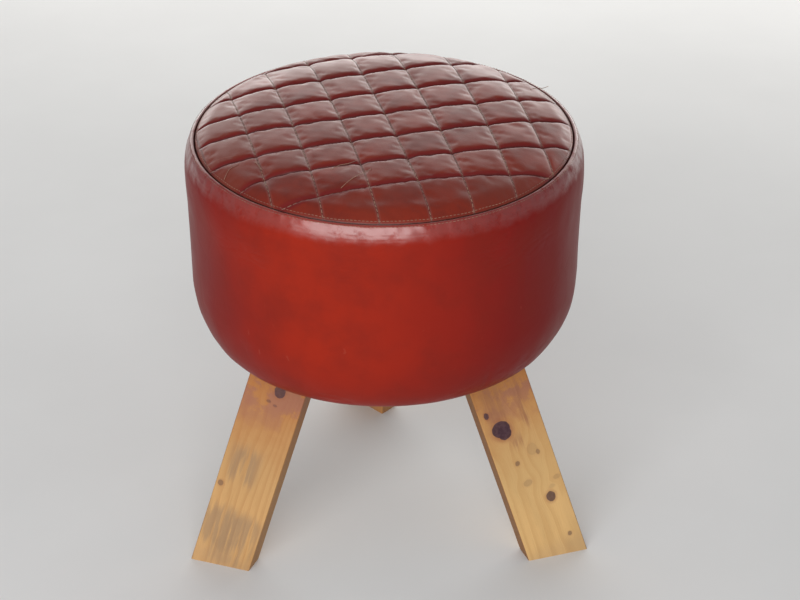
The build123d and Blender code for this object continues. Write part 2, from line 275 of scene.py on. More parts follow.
def use_group(group, **inputs):
    """Place a group beside the nodes that feed it. Gives its outputs."""
    return add("ShaderNodeGroup", with_spaces(inputs), node_tree=group)


# %% [markdown]
# ## The quilted panel
# The panel is leather over wadding, sewn through to a backing cloth along two crossing sets of
# lines, so it swells into small pillows. It is sewn by hand, and no line is quite straight: each
# has its own shift, slant and bow. The mesh is laid out along the lines, so every crease runs along
# a row of points and stays crisp.

# %% The smooth crown under the quilting
crown_rise, crown_middle, crown_edge = 20, 2000.0, 150.0
crown_centre = seam_height + crown_rise - crown_middle
centre_step = crown_middle - crown_edge
seam_drop = seam_height - crown_centre
seam_reach = math.hypot(panel_radius, seam_drop)
along_reach = (seam_reach**2 + centre_step**2 - crown_edge**2) / (2 * centre_step)
crown_turn = math.atan2(panel_radius, seam_drop) - math.acos(along_reach / seam_reach)
join_radius = crown_middle * math.sin(crown_turn)


def crown_height(radius):
    """Height of the crown at a distance from the axis, for arrays."""
    flat = crown_centre + np.sqrt(crown_middle**2 - np.minimum(radius, join_radius) ** 2)
    run = np.clip(radius, join_radius, panel_radius) - centre_step * math.sin(crown_turn)
    edge = crown_centre + centre_step * math.cos(crown_turn) + np.sqrt(crown_edge**2 - run**2)
    return np.where(radius < join_radius, flat, edge)


print("crown from", float(crown_height(panel_radius)), "to", float(crown_height(0.0)))

# %% How each sewn line strays: shift, slant and bow
# The rows run from left to right, the first nearest to the front. The files run front to back.
first_row, first_file = -4, -3
row_strays = [(0, 0, 0), (1.4, 0, -2.7), (-2.4, 0.3, 8), (-2.3, 6.5, 6.2), (0, 6, 6),
              (2.3, 11.8, 3.2), (6.3, 17, 3.8), (14, 15, 0)]
file_strays = [(1.1, 0.6, 0), (0.6, 2.5, -3.8), (1.9, 1.1, -3.2), (0.6, 1.2, -0.2),
               (0.1, 2.8, -2.4), (2.9, 6.3, -3.1), (1.7, 9, 0)]
tugged_row, tug_start, tug_size = -2, 0.62, 150


def stray(table, first, step, share):
    """How far a line strays at a share of its length, also for places between two lines."""
    values = np.array(table, float)
    place = np.clip(step - first, 0, len(values) - 1.001)
    low = np.floor(place).astype(int)
    part = place - low
    bent = [values[i, 0] + values[i, 1] * share + values[i, 2] * share**2 for i in (low, low + 1)]
    return bent[0] * (1 - part) + bent[1] * part


def quilt_to_plan(file, row):
    """Where a point of the quilting, counted in lines, lies in plan, in millimetres."""
    straight_along = quilt_start[0] + quilt_pitch * file
    straight_across = quilt_start[1] + quilt_pitch * row
    across = straight_across
    for _ in range(6):
        share = np.clip(across / panel_radius, -1, 1)
        along = straight_along + stray(file_strays, first_file, file, share)
        share = np.clip(along / panel_radius, -1, 1)
        near = np.clip(1 - np.abs(row - tugged_row), 0, 1)
        tug = tug_size * np.clip(-share - tug_start, 0, 1) ** 2 * near
        across = straight_across + stray(row_strays, first_row, row, share) - tug
    return along * quilt_cos - across * quilt_sin, along * quilt_sin + across * quilt_cos


# %% Soft irregular ripples, the same each run
def ripple(x, y, length, seed, waves=9):
    """A smooth random field of about this wavelength, between about -1 and 1."""
    chance = np.random.default_rng(seed)
    total = np.zeros_like(np.asarray(x, float))
    for _ in range(waves):
        angle, phase = chance.uniform(0, 2 * math.pi, 2)
        wave = 2 * math.pi / (length * chance.uniform(0.7, 1.5))
        total = total + np.sin((x * math.cos(angle) + y * math.sin(angle)) * wave + phase)
    return total / (0.4 * waves)


# %% The height of the quilted leather
valley_depth, line_rise, pillow_height = 4.8, 0.25, 4.85
rim_puff, rim_width, fold_width, fold_drop = 2.0, 9, 3.5, 2.6


def off_line(counted):
    """Nought on a sewn line, one midway to the next."""
    return 1 - np.abs(2 * (counted % 1) - 1)


def behind_first_row(row):
    """Rows counted so that no new cell starts in front of the first one."""
    return np.maximum(row, first_row + 0.5)


def quilt_height(file, row, x, y):
    """Height of the leather's face at a point of the quilting."""
    radius = np.minimum(np.hypot(x, y), panel_radius)
    across, along = off_line(file), off_line(behind_first_row(row))
    soft_dip = 0.52 + 0.48 * (1 - (1 - across) ** 4.5) ** 0.62
    steep_fall = (1 - (1 - along) ** 10) ** 0.6
    slack = 0.45 + 0.55 * np.clip((y + 0.77 * panel_radius) / 40, 0, 1)
    rise = line_rise * (across * (2 - across) + along * (2 - along))
    at_crossings = 0.6 * ripple(x, y, 7, 5) * (1 - across) * (1 - along)
    puckers = ripple(x, y, 15, 3) * (1 - across * along) + at_crossings
    dents = 0.4 * ripple(x, y, 60, 8) * across * along
    beside_row = np.exp(-((along * quilt_pitch / 2 - 1.5) / 3) ** 2)
    pinches = 0.2 * ripple(x, y, 6, 9) * beside_row
    pillow = pillow_height * (1 - (1 - soft_dip * steep_fall) * slack)
    lift = rise + pillow + 0.24 * puckers + dents + pinches
    fade = 1 - (radius / panel_radius) ** 10
    at_rim = np.exp(-(((panel_radius - 12 - radius) / rim_width) ** 2))
    puff = rim_puff * at_rim * (0.7 + 0.3 * soft_dip * steep_fall)
    fold = np.clip((radius - (panel_radius - fold_width)) / fold_width, 0, 1)
    drop = fold_drop * (1 - np.sqrt(1 - 0.98 * fold**2))
    return crown_height(radius) + (lift - valley_depth) * fade + puff - drop


# %% Lay out the panel's mesh along the quilting and cut it to the circle
def quilt_grid(per_cell, reach=4.3):
    """Points of a grid that follows the sewn lines: quilting coordinates and plan."""
    steps = int(round(reach * per_cell))
    line = np.arange(-steps, steps + 1) / per_cell
    part = line - np.round(line)
    crowded = np.round(line) + part * (0.5 + np.abs(part))
    file, row = np.meshgrid(line, crowded, indexing="ij")
    return file, row, *quilt_to_plan(file, row)


def cut_to_circle(file, row, x, y, radius):
    """The grid's cells inside a circle. Cells on its edge are cut along it."""
    grid = np.stack([file, row, x, y], -1)
    inside = np.hypot(x, y) < radius
    points, index, faces = [], {}, []

    def corner(spot):
        if spot not in index:
            index[spot] = len(points)
            points.append(tuple(grid[spot]))
        return index[spot]

    def crossing(a, b):
        key = (min(a, b), max(a, b))
        if key not in index:
            start, end = grid[key[0]], grid[key[1]]
            low, high = 0.0, 1.0
            for _ in range(24):
                middle = (low + high) / 2
                spot = start + (end - start) * middle
                if (math.hypot(spot[2], spot[3]) < radius) == bool(inside[key[0]]):
                    low = middle
                else:
                    high = middle
            index[key] = len(points)
            points.append(tuple(start + (end - start) * (low + high) / 2))
        return index[key]

    rows, columns = x.shape
    for i in range(rows - 1):
        for j in range(columns - 1):
            ring = [(i, j), (i + 1, j), (i + 1, j + 1), (i, j + 1)]
            face = []
            for here, there in zip(ring, ring[1:] + ring[:1]):
                if inside[here]:
                    face.append(corner(here))
                if inside[here] != inside[there]:
                    face.append(crossing(here, there))
            if len(face) > 2:
                faces.append(face)
    return np.array(points), faces


def laid_out(spots, level=quilt_height):
    """The grid's points in plan, each at its level."""
    return np.column_stack([spots[:, 2], spots[:, 3], level(*spots.T)])


# %% The panel's edge, turned down into the seam
edge_steps = [(0.25, 0.6), (0.1, 1.2), (0, 3.2), (-0.1, 3.0)]


def turn_edge_down(piece):
    """Add rings of faces to a disc's open edge, by steps of (outward, down), in millimetres."""
    with opened(piece) as work:
        rim = [v for v in work.verts if v.is_boundary]
        edges = [tuple(e.verts) for e in work.edges if e.is_boundary]
        for outward, down in edge_steps:
            # An extrusion has the same shape, but lists its faces in another order each run.
            below = {}
            for point in rim:
                away = Vector((point.co.x, point.co.y - axis_y * MM, 0)).normalized()
                step = away * outward * MM - Vector((0, 0, down * MM))
                below[point] = work.verts.new(point.co + step, point)
            for a, b in edges:
                work.faces.new((a, b, below[b], below[a]))
            rim = list(below.values())
            edges = [(below[a], below[b]) for a, b in edges]


# %% [markdown]
# ## Leather that settles between its stitches
# A formula gives every cell the same neat pillow, but real leather is held where it is sewn and
# rides up on the wadding between. So a coarser copy of the sheet is pinned along the sewn lines,
# and Blender's Cloth lets the rest give way to a slight push from below. The fine mesh is moved by
# the same small amounts and keeps no Cloth modifier.

# %% Let the leather settle as cloth between its sewn lines
sewn_reach = 0.5
cloth_settings = {
    "quality": 7, "mass": 0.3, "air_damping": 2.0, "tension_stiffness": 20.0,
    "compression_stiffness": 12.0, "shear_stiffness": 6.0, "bending_stiffness": 0.6,
    "shrink_min": -0.004, "use_pressure": True, "uniform_pressure_force": 1.2,
    "vertex_group_mass": "sewn"}


def from_lines(spots):
    """Distance of each point to its nearest file and to its nearest row, in millimetres."""
    counts = spots[:, 0], behind_first_row(spots[:, 1])
    return [off_line(counted) * quilt_pitch / 2 for counted in counts]


def settle(per_cell=14, frames=20, furthest=0.9):
    """Simulate a thin sheet that is held where it is sewn. Gives its places and shifts."""
    spots, faces = cut_to_circle(*quilt_grid(per_cell), panel_edge)
    start = laid_out(spots)
    sheet = make_piece("settling_sheet", start, faces)
    file_gap, row_gap = from_lines(spots)
    at_edge = np.hypot(spots[:, 2], spots[:, 3]) > panel_radius - fold_width
    held = (file_gap < sewn_reach) | (row_gap < sewn_reach) | at_edge
    sheet.vertex_groups.new(name="sewn").add(np.flatnonzero(held).tolist(), 1.0, "REPLACE")
    cloth = sheet.modifiers.new("cloth", "CLOTH")
    for key, value in cloth_settings.items():
        setattr(cloth.settings, key, value)
    cloth.settings.effector_weights.gravity = 0.0
    cloth.collision_settings.use_collision = False
    cloth.point_cache.frame_end = frames
    for frame_number in range(1, frames + 1):
        bpy.context.scene.frame_set(frame_number)
    settled = sheet.evaluated_get(bpy.context.evaluated_depsgraph_get())
    ended = np.empty(len(start) * 3)
    settled.data.vertices.foreach_get("co", ended)
    shift = ended.reshape(-1, 3) / MM - (0, axis_y, 0) - start
    size = np.linalg.norm(shift, axis=1)
    shift *= (furthest * np.tanh(size / furthest) / np.maximum(size, 1e-9))[:, None]
    print("cloth shift in mm: middle", round(float(np.median(size)), 2),
          "largest", round(float(size.max()), 2))
    bpy.data.meshes.remove(sheet.data)
    bpy.context.scene.frame_set(1)
    return start, shift


def carry_over(piece, places, shift):
    """Move a finer mesh as the simulated one moved, each point with its nearest neighbours."""
    tree = KDTree(len(places))
    for number, (x, y, _) in enumerate(places):
        tree.insert((x, y, 0), number)
    tree.balance()
    for point in piece.data.vertices:
        found = tree.find_n((point.co.x / MM, point.co.y / MM - axis_y, 0), 4)
        weights = [1 / (gap + 0.05) ** 2 for _, _, gap in found]
        moved = sum(shift[number] * weight for (_, number, _), weight in zip(found, weights))
        point.co += Vector(moved / sum(weights) * MM)


# %% The quilted panel itself
leather_thickness, wall_thickness = 1.3, 1.5
fine, coarse = 28, 20
spots, faces = cut_to_circle(*quilt_grid(fine), panel_edge)
quilted_panel = make_piece("quilted_panel", laid_out(spots), faces)
for label, away in zip(("from_file", "from_row"), from_lines(spots)):
    mark = quilted_panel.data.attributes.new(label, "FLOAT", "POINT")
    mark.data.foreach_set("value", (away * MM).astype(np.float32))
carry_over(quilted_panel, *settle())
turn_edge_down(quilted_panel)
thicken(quilted_panel, leather_thickness)
report(quilted_panel)

# %% [markdown]
# ## The leather wall
# The wall is one strip of leather, turned in at the seam, pulled down over the padding and tacked
# under the drum. One outline is turned round the axis. What makes it leather are its small faults:
# it isn't quite round, it puckers below the seam, and it creases where hands have lifted the pouf.


# %% The wall's outline, from inside the seam down to the hem
def arc(centre, radii, start, end, steps):
    (x, z), (wide, high) = centre, radii
    angles = np.radians(np.linspace(start, end, steps))
    return [(x + wide * math.cos(a), z + high * math.sin(a)) for a in angles]


shoulder_radius, fold_radius = 358.0, 2.0
wall_inner = panel_radius + 0.2
fold_centre = (wall_inner + fold_radius, seam_height - fold_radius)
shoulder_centre = drum_radius - shoulder_radius
shoulder_run = fold_centre[0] - shoulder_centre
shoulder_rise = math.sqrt((shoulder_radius - fold_radius) ** 2 - shoulder_run**2)
shoulder_bottom = fold_centre[1] - shoulder_rise
shoulder_angle = math.degrees(math.atan2(shoulder_rise, shoulder_run))
roll_width, roll_height, hem_width = 32.0, 67.0, 36.0
flat_radius = drum_radius - roll_width
hem_radius = flat_radius - hem_width

outline = [(wall_inner, seam_height - down) for down in (9.5, 7, 4.5)]
fold_points = 9
outline += arc(fold_centre, (fold_radius, fold_radius), 180, shoulder_angle, fold_points)
outline += arc((shoulder_centre, shoulder_bottom), (shoulder_radius, shoulder_radius),
               shoulder_angle, 0, 46)[1:]
straight = np.linspace(shoulder_bottom, underside + roll_height, 4)
outline += [(drum_radius, z) for z in straight[1:-1]]
outline += arc((flat_radius, underside + roll_height), (roll_width, roll_height), 0, -90, 34)
outline += [(r, underside) for r in np.linspace(flat_radius, hem_radius, 10)[1:]]
outline = np.array(outline)
print("outline points", len(outline), "from", outline[0], "to", outline[-1])

# %% Turn the outline round the axis and work in the faults
back_seam = math.pi / 2
dent_bearing, dent_height = math.radians(-61), 250


def bell(value, width):
    """One at nought, falling off over a width on both sides."""
    return np.exp(-((value / width) ** 2))


def wall_faults(angle, radius, height):
    """How far the leather stands out or in, at a bearing and a height, in millimetres."""
    around = angle * drum_radius
    below_seam = np.clip(seam_height - height, 0, None)
    wavy = sum(np.cos(lobes * (angle - turned)) * size
               for lobes, turned, size in ((2, 0.6, 0.5), (3, 2.1, 0.35), (5, 0.4, 0.2)))
    hand = wavy * np.clip(below_seam / 40, 0, 1)
    gathers = ripple(around, height * 0.25, 10, 21) * np.exp(-below_seam / 8) * 0.5
    slack = ripple(around, height, 62, 23) * 0.35 + ripple(around, height, 24, 24) * 0.1
    creases = np.abs(ripple(around * 0.8, height * 1.6, 26, 27))
    worn = np.clip(ripple(around, height, 120, 29) - 0.25, 0, 1)
    sunk = 1.3 * bell(np.abs(angle - back_seam) * drum_radius, 1.3)
    over_allowance = 1 - (1 - np.clip(below_seam, 0, 20) / 20) ** 1.7
    shoulder = 3.8 * over_allowance * bell(np.clip(below_seam - 20, 0, None), 34)
    dent = 0.9 * bell((angle - dent_bearing) * drum_radius, 2.2) * bell(height - dent_height, 16)
    pulls = ripple(around * 0.5, height * 2.2, 9, 33) * bell(below_seam - 9, 9) * 0.16
    out = hand + shoulder + gathers + slack + pulls
    return out - dent - 0.55 * worn * bell(creases, 0.16) - sunk


around = np.linspace(-math.pi, math.pi, 400, endpoint=False)
beside_seam, clear_of_seam = np.array([0.3, 0.6, 1, 1.5, 2.2, 3]), 5
near_seam = back_seam + np.concatenate([-beside_seam[::-1], [0], beside_seam]) / drum_radius
elsewhere = around[np.abs(around - back_seam) > clear_of_seam / drum_radius]
around = np.sort(np.concatenate([elsewhere, near_seam]))
angle, step = np.meshgrid(around, np.arange(len(outline)), indexing="ij")
radius, height = outline[step, 0], outline[step, 1]
past_fold = np.clip((step - 5) / (fold_points - 1), 0, 1)
above_hem = np.clip((height - underside) / 12, 0, 1)
radius = radius + wall_faults(angle, radius, height) * past_fold * (0.15 + 0.85 * above_hem)
count, length = angle.shape
leather_wall = make_piece(
    "leather_wall", round_axis(radius, angle, height), quads(count, length, count, length - 1))
with opened(leather_wall):
    pass  # closing it turns its faces outward
thicken(leather_wall, wall_thickness)

# %% [markdown]
# The hem and the cloth under the drum are slit where the legs pass, by boxes that stand where the
# planks are and are a little wider. So each leg's own directions are worked out first. They also
# turn the grain along each plank later.

# %% Each plank's foot and directions
feet = {m["name"].removesuffix("_foot"): Vector(m["pos_m"]) for m in frame["record"]["mounts"]}
plank_width, plank_thickness = 62, 22


def plank_matrix(name):
    """The plank's frame: x across it, y out of its broad face, z up along it, from the foot."""
    sides = []
    for face in nodes[f"{name}_leg"].data.polygons:
        for side in sides:
            if side.normalized().dot(face.normal) > 0.999:
                side += face.normal * face.area
                break
        else:
            sides.append(face.normal * face.area)
    sides.sort(key=lambda side: -side.length)
    away = feet[name] - Vector((0, axis_y * MM, 0))
    outward = max(sides[:2], key=lambda side: side.dot(away)).normalized()
    along = outward.cross(sides[2].normalized())
    along = along if along.z > 0 else -along
    matrix = Matrix((outward.cross(along), outward, along)).transposed().to_4x4()
    matrix.translation = feet[name]
    return matrix


for name in feet:
    print(name, "foot", [round(v, 4) for v in plank_matrix(name).translation])

# %% Cut the slits for the legs
slit_gap, slit_middle, slit_length = 0.9, 0.245, 0.16


def cut_slits(piece):
    """Cut a piece with a box round each plank."""
    cutter = new_object("slits", bpy.data.meshes.new("slits"))
    work = bmesh.new()
    width, depth = ((size + 2 * slit_gap) * MM for size in (plank_width, plank_thickness))
    raised = Matrix.Translation((0, 0, slit_middle))
    box = raised @ Matrix.Diagonal((width, depth, slit_length, 1))
    for name in feet:
        bmesh.ops.create_cube(work, size=1, matrix=plank_matrix(name) @ box)
    work.to_mesh(cutter.data)
    work.free()
    cut = piece.modifiers.new("slits", "BOOLEAN")
    cut.operation, cut.solver, cut.object = "DIFFERENCE", "EXACT", cutter
    freeze(piece)
    bpy.data.objects.remove(cutter)


cut_slits(leather_wall)
report(leather_wall)

# %% [markdown]
# ## The cloth under the drum
# A disc of thin dark cloth closes the underside. It is tacked near its edge, and hangs a little in
# the middle and between the tacks.

# %% The dust cover
cloth_radius, cloth_top = half_width("dust_cover"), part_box("dust_cover")[1].z / MM
cloth_thickness, cloth_sag, cloth_tacks = 0.6, 2.2, 12
rings = np.concatenate([np.linspace(0, 0.9, 26)[1:], [0.93, 0.955, 0.97, 0.985, 1.0]])
spokes = np.linspace(0, 2 * math.pi, 144, endpoint=False)
ring, spoke = np.meshgrid(rings * cloth_radius, spokes, indexing="ij")
share = ring / cloth_radius
sag = (1 - share**2) * cloth_sag
sag = sag + ripple(ring * np.cos(spoke), ring * np.sin(spoke), 70, 31) * 0.5
scallop = 0.5 * (1 + np.cos(cloth_tacks * spoke)) * np.exp(-((share - 0.9) / 0.12) ** 2) * 0.7
hung = cloth_top - (sag * (ring < cloth_radius * 0.97) + scallop)
points = round_axis(ring, spoke, np.minimum(hung, cloth_top))
points = np.vstack([points, [(0, 0, cloth_top - cloth_sag)]])
count, turns = ring.shape
faces = quads(count, turns, count - 1, turns)
faces += [(len(points) - 1, (j + 1) % turns, j) for j in range(turns)]
dust_cloth = make_piece("dust_cloth", points, faces)
thicken(dust_cloth, cloth_thickness, 1)
cut_slits(dust_cloth)
report(dust_cloth)

# %% [markdown]
# ## The soft layers inside
# Under the leather lie cotton wadding, the backing cloth that the quilting is sewn to, a foam
# cushion, and foam round the frame. They are closed forms made from the leather's own curves, a
# little smaller, so the layers lie in each other without touching.


# %% The wadding that fills the quilting, and its backing cloth
def closed_layer(name, per_cell, radius, top, bottom):
    """A closed body between two heights, on the quilting's own grid."""
    spots, faces = cut_to_circle(*quilt_grid(per_cell), radius)
    count = len(spots)
    sides = {}
    for face in faces:
        for a, b in zip(face, face[1:] + face[:1]):
            if sides.pop((b, a), None) is None:
                sides[(a, b)] = True
    walls = [(b, a, a + count, b + count) for a, b in sides]
    under = [[v + count for v in reversed(face)] for face in faces]
    both = np.vstack([laid_out(spots, top), laid_out(spots, bottom)])
    piece = make_piece(name, both, faces + under + walls)
    smooth(piece)
    report(piece)
    return piece


def under_crown(drop):
    return lambda file, row, x, y: crown_height(np.hypot(x, y)) - drop


def under_leather(*spot):
    return quilt_height(*spot) - leather_thickness - 0.35


pad_radius = half_width("quilt_wadding")
wadding_drop, cushion_drop, backing_thickness = 7.1, 8.1, 0.55
wadding = closed_layer(
    "wadding_fill", 12, pad_radius - 0.6, under_leather, under_crown(wadding_drop - 0.1))
backing = closed_layer(
    "backing_cloth", 4, pad_radius - 0.4, under_crown(wadding_drop + 0.05),
    under_crown(wadding_drop + 0.05 + backing_thickness))


# %% The foam cushion and the foam round the frame
def turned_body(name, profile, seed, steps=160, unevenness=0.4):
    """Turn a closed outline of (radius, height) round the axis, a little unevenly."""
    turn = np.linspace(0, 2 * math.pi, steps, endpoint=False)
    r, z = np.array(profile).T
    turns, radii = np.meshgrid(turn, r, indexing="ij")
    heights = np.meshgrid(turn, z, indexing="ij")[1]
    inward = unevenness * (ripple(turns * 180, heights, 45, seed) - 1) * np.clip(radii / 60, 0, 1)
    radii = np.where(radii > 1, radii + inward, radii)
    n = len(profile)
    faces = [(a, d, c, b) for a, b, c, d in quads(steps, n, steps, n)]
    piece = make_piece(name, round_axis(radii, turns, heights), faces)
    with opened(piece) as work:
        bmesh.ops.remove_doubles(work, verts=work.verts, dist=1e-5)
        bmesh.ops.dissolve_degenerate(work, edges=work.edges, dist=1e-6)
    smooth(piece)
    report(piece)
    return piece


foam_inset, cushion_floor = 1.9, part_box("seat_foam")[0].z / MM + 0.2
wall_inside = outline[fold_points - 1:] - [foam_inset, 0]
shoulder_side = wall_inside[(wall_inside[:, 1] > cushion_floor + 6)
                            & (wall_inside[:, 1] < seam_height - 12)]
across_top = np.linspace(pad_radius - 1.5, 0, 40)
cushion_profile = [(r, float(crown_height(r)) - cushion_drop) for r in across_top]
cushion_side = shoulder_side[-1, 0]
cushion_profile += [(r, cushion_floor) for r in (0, 90, cushion_side - 4)]
cushion_profile += [(cushion_side - 1, cushion_floor + 2.5)]
cushion_profile += [tuple(point) for point in shoulder_side[::-1]]
seat_cushion = turned_body("seat_cushion", cushion_profile, 51)
hoop_radius, foam_top = half_width("drum_hoop") + 0.3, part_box("side_foam")[1].z / MM - 0.2
padding_side = wall_inside[(wall_inside[:, 1] < foam_top - 4)
                           & (wall_inside[:, 0] > hoop_radius + 2)]
padding_side[:, 1] = np.maximum(padding_side[:, 1], underside + foam_inset)
padding_profile = [(hoop_radius, foam_top), (padding_side[0, 0] - 3, foam_top)]
padding_profile += [tuple(point) for point in padding_side] + [(hoop_radius, padding_side[-1, 1])]
wall_padding = turned_body("wall_padding", padding_profile, 52)

# %% [markdown]
# ## Stitches
# A stitch is a short dash of thread, thickest in the middle. A Geometry Nodes tree divides a drawn
# line by the stitch pitch and sets one stitch at each place, turned along the line. It sews the
# quilting, both sides of the top seam and the back seam, each with its own sizes.


# %% The stitching tree
def placing_tree(name, source, sizes, dressing, lay_out, rounded):
    """A tree that sets out copies of a small form. lay_out gives the placed copies."""
    tree = bpy.data.node_groups.new(name, "GeometryNodeTree")

    def socket(label, kind, value=None, in_out="INPUT"):
        made = tree.interface.new_socket(name=label, in_out=in_out, socket_type="NodeSocket" + kind)
        if value is not None:
            made.default_value = value

    socket(source, "Geometry")
    for label, value in sizes.items():
        socket(label, "Float", value)
    socket("Seed", "Int", 1)
    socket(dressing, "Material")
    socket("Made", "Geometry", in_out="OUTPUT")
    given = tree.nodes.new("NodeGroupInput").outputs
    real = add("GeometryNodeRealizeInstances", {0: lay_out(tree, given)})[0]
    made = add("GeometryNodeSetMaterial", {"Geometry": real, "Material": given[dressing]})[0]
    if rounded:
        made = add("GeometryNodeSetShadeSmooth", {"Geometry": made})[0]
    add("NodeGroupOutput", {0: made})
    return tree


def random_vector(low, high, seed):
    return add("FunctionNodeRandomValue", {"Min": low, "Max": high, "Seed": seed},
               data_type="FLOAT_VECTOR")[0]


def stitches_on_line(tree, given):
    curve = add("GeometryNodeMeshToCurve", {0: given["Line"]})[0]
    spaced = add("GeometryNodeResampleCurve", {"Curve": curve, "Length": given["Pitch"]},
                 mode="LENGTH")[0]
    bead = add("GeometryNodeMeshUVSphere", {"Segments": 6, "Rings": 5, "Radius": 0.5}, tree)[0]
    lying = add("GeometryNodeTransform", {"Geometry": bead, "Rotation": (0, math.pi / 2, 0)})[0]
    tangent = tree.nodes.new("GeometryNodeInputTangent").outputs[0]
    turned = add("FunctionNodeAlignRotationToVector", {"Vector": tangent}, axis="X")[0]
    waver = random_vector((0, 0, -1), (0, 0, 1), given["Seed"])
    sway = vectors("SCALE", waver, given["Waver"])
    swayed = add("FunctionNodeRotateRotation", {0: turned, 1: sway}, rotation_space="LOCAL")[0]
    size = join(given["Length"], given["Thickness"], given["Thickness"])
    return add("GeometryNodeInstanceOnPoints", {
        "Points": spaced, "Instance": lying, "Rotation": swayed, "Scale": size})[0]


def run_tree(piece, tree, **values):
    """Give a piece the tree, set its inputs by the sockets' identifiers, and freeze the result."""
    modifier = piece.modifiers.new(tree.name, "NODES")
    modifier.node_group = tree
    for item in tree.interface.items_tree:
        if item.in_out == "INPUT" and item.name in values:
            modifier[item.identifier] = values[item.name]
    freeze(piece)


stitch_sizes = {"Pitch": 0.006, "Length": 0.0045, "Thickness": 0.0008, "Waver": 0.1}
stitches = placing_tree("run of stitches", "Line", stitch_sizes, "Thread", stitches_on_line, True)
print("stitch inputs:", [i.name for i in stitches.interface.items_tree if i.in_out == "INPUT"])

# %% Draw the lines to sew
thread_lift = 0.15


def drawn_lines(name, lines, closed=False):
    """One object of loose edges that follow several lines of points."""
    points, edges = [], []
    for line in lines:
        start = len(points)
        points += list(line)
        edges += [(start + i, start + i + 1) for i in range(len(line) - 1)]
        if closed:
            edges.append((start + len(line) - 1, start))
    return make_piece(name, points, [], edges)


def surface_height(x, y):
    """Height of the quilted leather at a place in plan, by nearing its quilting coordinates."""
    file, row = -quilt_start[0] / quilt_pitch, -quilt_start[1] / quilt_pitch
    off_x, off_y = x, y
    for _ in range(21):
        file = file + (off_x * quilt_cos + off_y * quilt_sin) / quilt_pitch
        row = row + (off_y * quilt_cos - off_x * quilt_sin) / quilt_pitch
        plan_x, plan_y = quilt_to_plan(np.array([file]), np.array([row]))
        off_x, off_y = x - float(plan_x[0]), y - float(plan_y[0])
    return float(quilt_height(np.array([file]), np.array([row]), np.array([x]), np.array([y]))[0])


def quilt_lines():
    """Every sewn line of the quilting, on the leather, from rim to rim."""
    lines = []
    spread = np.linspace(-4.4, 4.4, 500)
    for first, table, is_row in ((first_row, row_strays, True), (first_file, file_strays, False)):
        for step in range(-3, first + len(table)):
            fixed = np.full_like(spread, step)
            file, row = (spread, fixed) if is_row else (fixed, spread)
            x, y = quilt_to_plan(file, row)
            kept = np.hypot(x, y) < panel_radius - 2.2
            z = quilt_height(file, row, x, y) + thread_lift
            lines.append(np.column_stack([x, y, z])[kept])
    return [line for line in lines if len(line) > 20]


def ring_line(ring_radius, ring_height, wobble, seed, steps=720):
    """A closed line round the drum, a little unsteady."""
    turn = np.linspace(0, 2 * math.pi, steps, endpoint=False)
    unsteady = ring_radius + wobble * ripple(turn * 180, turn * 0, 40, seed)
    return round_axis(unsteady, turn, np.full(steps, ring_height))


quilting = drawn_lines("quilting_stitches", quilt_lines())
inner_ring = ring_line(panel_radius - 2.1, seam_height, 0.2, 41, 360)
inner_ring = [(x, y, surface_height(x, y) + thread_lift) for x, y, _ in inner_ring]
outer_ring = ring_line(fold_centre[0] + 2.2, seam_height - 0.95, 0.15, 42)
seam_inner = drawn_lines("panel_seam_stitches", [inner_ring], True)
seam_outer = drawn_lines("wall_seam_stitches", [outer_ring], True)
print("quilting line points", len(quilting.data.vertices))

# %% The back seam's two rows of stitches
back_rows = []
for side in (-3.2, 3.2):
    radius, height = outline[(outline[:, 1] > underside + 3) & (outline[:, 1] < seam_height - 3)].T
    turn = np.full(len(height), back_seam + side / drum_radius)
    out = radius + wall_faults(turn, radius, height) + thread_lift
    back_rows.append(round_axis(out, turn, height))
back_stitches = drawn_lines("back_seam_stitches", back_rows)

# %% [markdown]
# ## Tacks
# Cut tacks hold the hem and the cloth. A second tree sets a domed head and a shank at each place,
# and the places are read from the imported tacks.


# %% The tack tree
def tacks_at_places(tree, given):
    ball = add("GeometryNodeMeshUVSphere", {"Segments": 14, "Rings": 8, "Radius": 0.5}, tree)[0]
    flat = join(given["Head"], given["Head"], given["Dome"])
    head = add("GeometryNodeTransform", {"Geometry": ball, "Scale": flat})[0]
    spike = add("GeometryNodeMeshCone", {
        "Vertices": 4, "Radius Top": over(given["Shank"], 3.0),
        "Radius Bottom": given["Shank"], "Depth": given["Reach"]})[0]
    joined = tree.nodes.new("GeometryNodeJoinGeometry")
    for part in (head, spike):
        tree.links.new(part, joined.inputs[0])
    waver = random_vector((-0.06, -0.06, 0), (0.06, 0.06, 6.2), given["Seed"])
    return add("GeometryNodeInstanceOnPoints", {
        "Points": given["Places"], "Instance": joined.outputs[0], "Rotation": waver})[0]


def tack_places(node, same_tack=0.009, head_lift=0.45):
    """Where each packed tack's head lies: the middle of every cluster of its lowest points."""
    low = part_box(node)[0].z
    clusters = []
    for spot in [v.co.copy() for v in nodes[node].data.vertices if v.co.z < low + 0.0002]:
        for cluster in clusters:
            if (cluster[0] - spot).length < same_tack:
                cluster.append(spot)
                break
        else:
            clusters.append([spot])
    middles = [sum(c, Vector()) / len(c) for c in clusters]
    return [(m.x / MM, m.y / MM - axis_y, m.z / MM + head_lift) for m in middles]


tack_sizes = {"Head": 0.007, "Dome": 0.0012, "Shank": 0.0016, "Reach": 0.009}
tacks = placing_tree("ring of tacks", "Places", tack_sizes, "Steel", tacks_at_places, False)
tack_rings = {node: make_piece(node.replace("tacks", "tack_heads"), tack_places(node), [])
              for node in ("hem_tacks", "dust_cover_tacks")}
print({name: len(ring.data.vertices) for name, ring in tack_rings.items()})

# %% [markdown]
# ## Loose thread ends
# Where a quilting thread was started or ended, its tail was left on the leather: a thin tube along
# a small curve. Nothing else gives the hand work away as much.

# %% Thread tails
thread_radius = 0.28


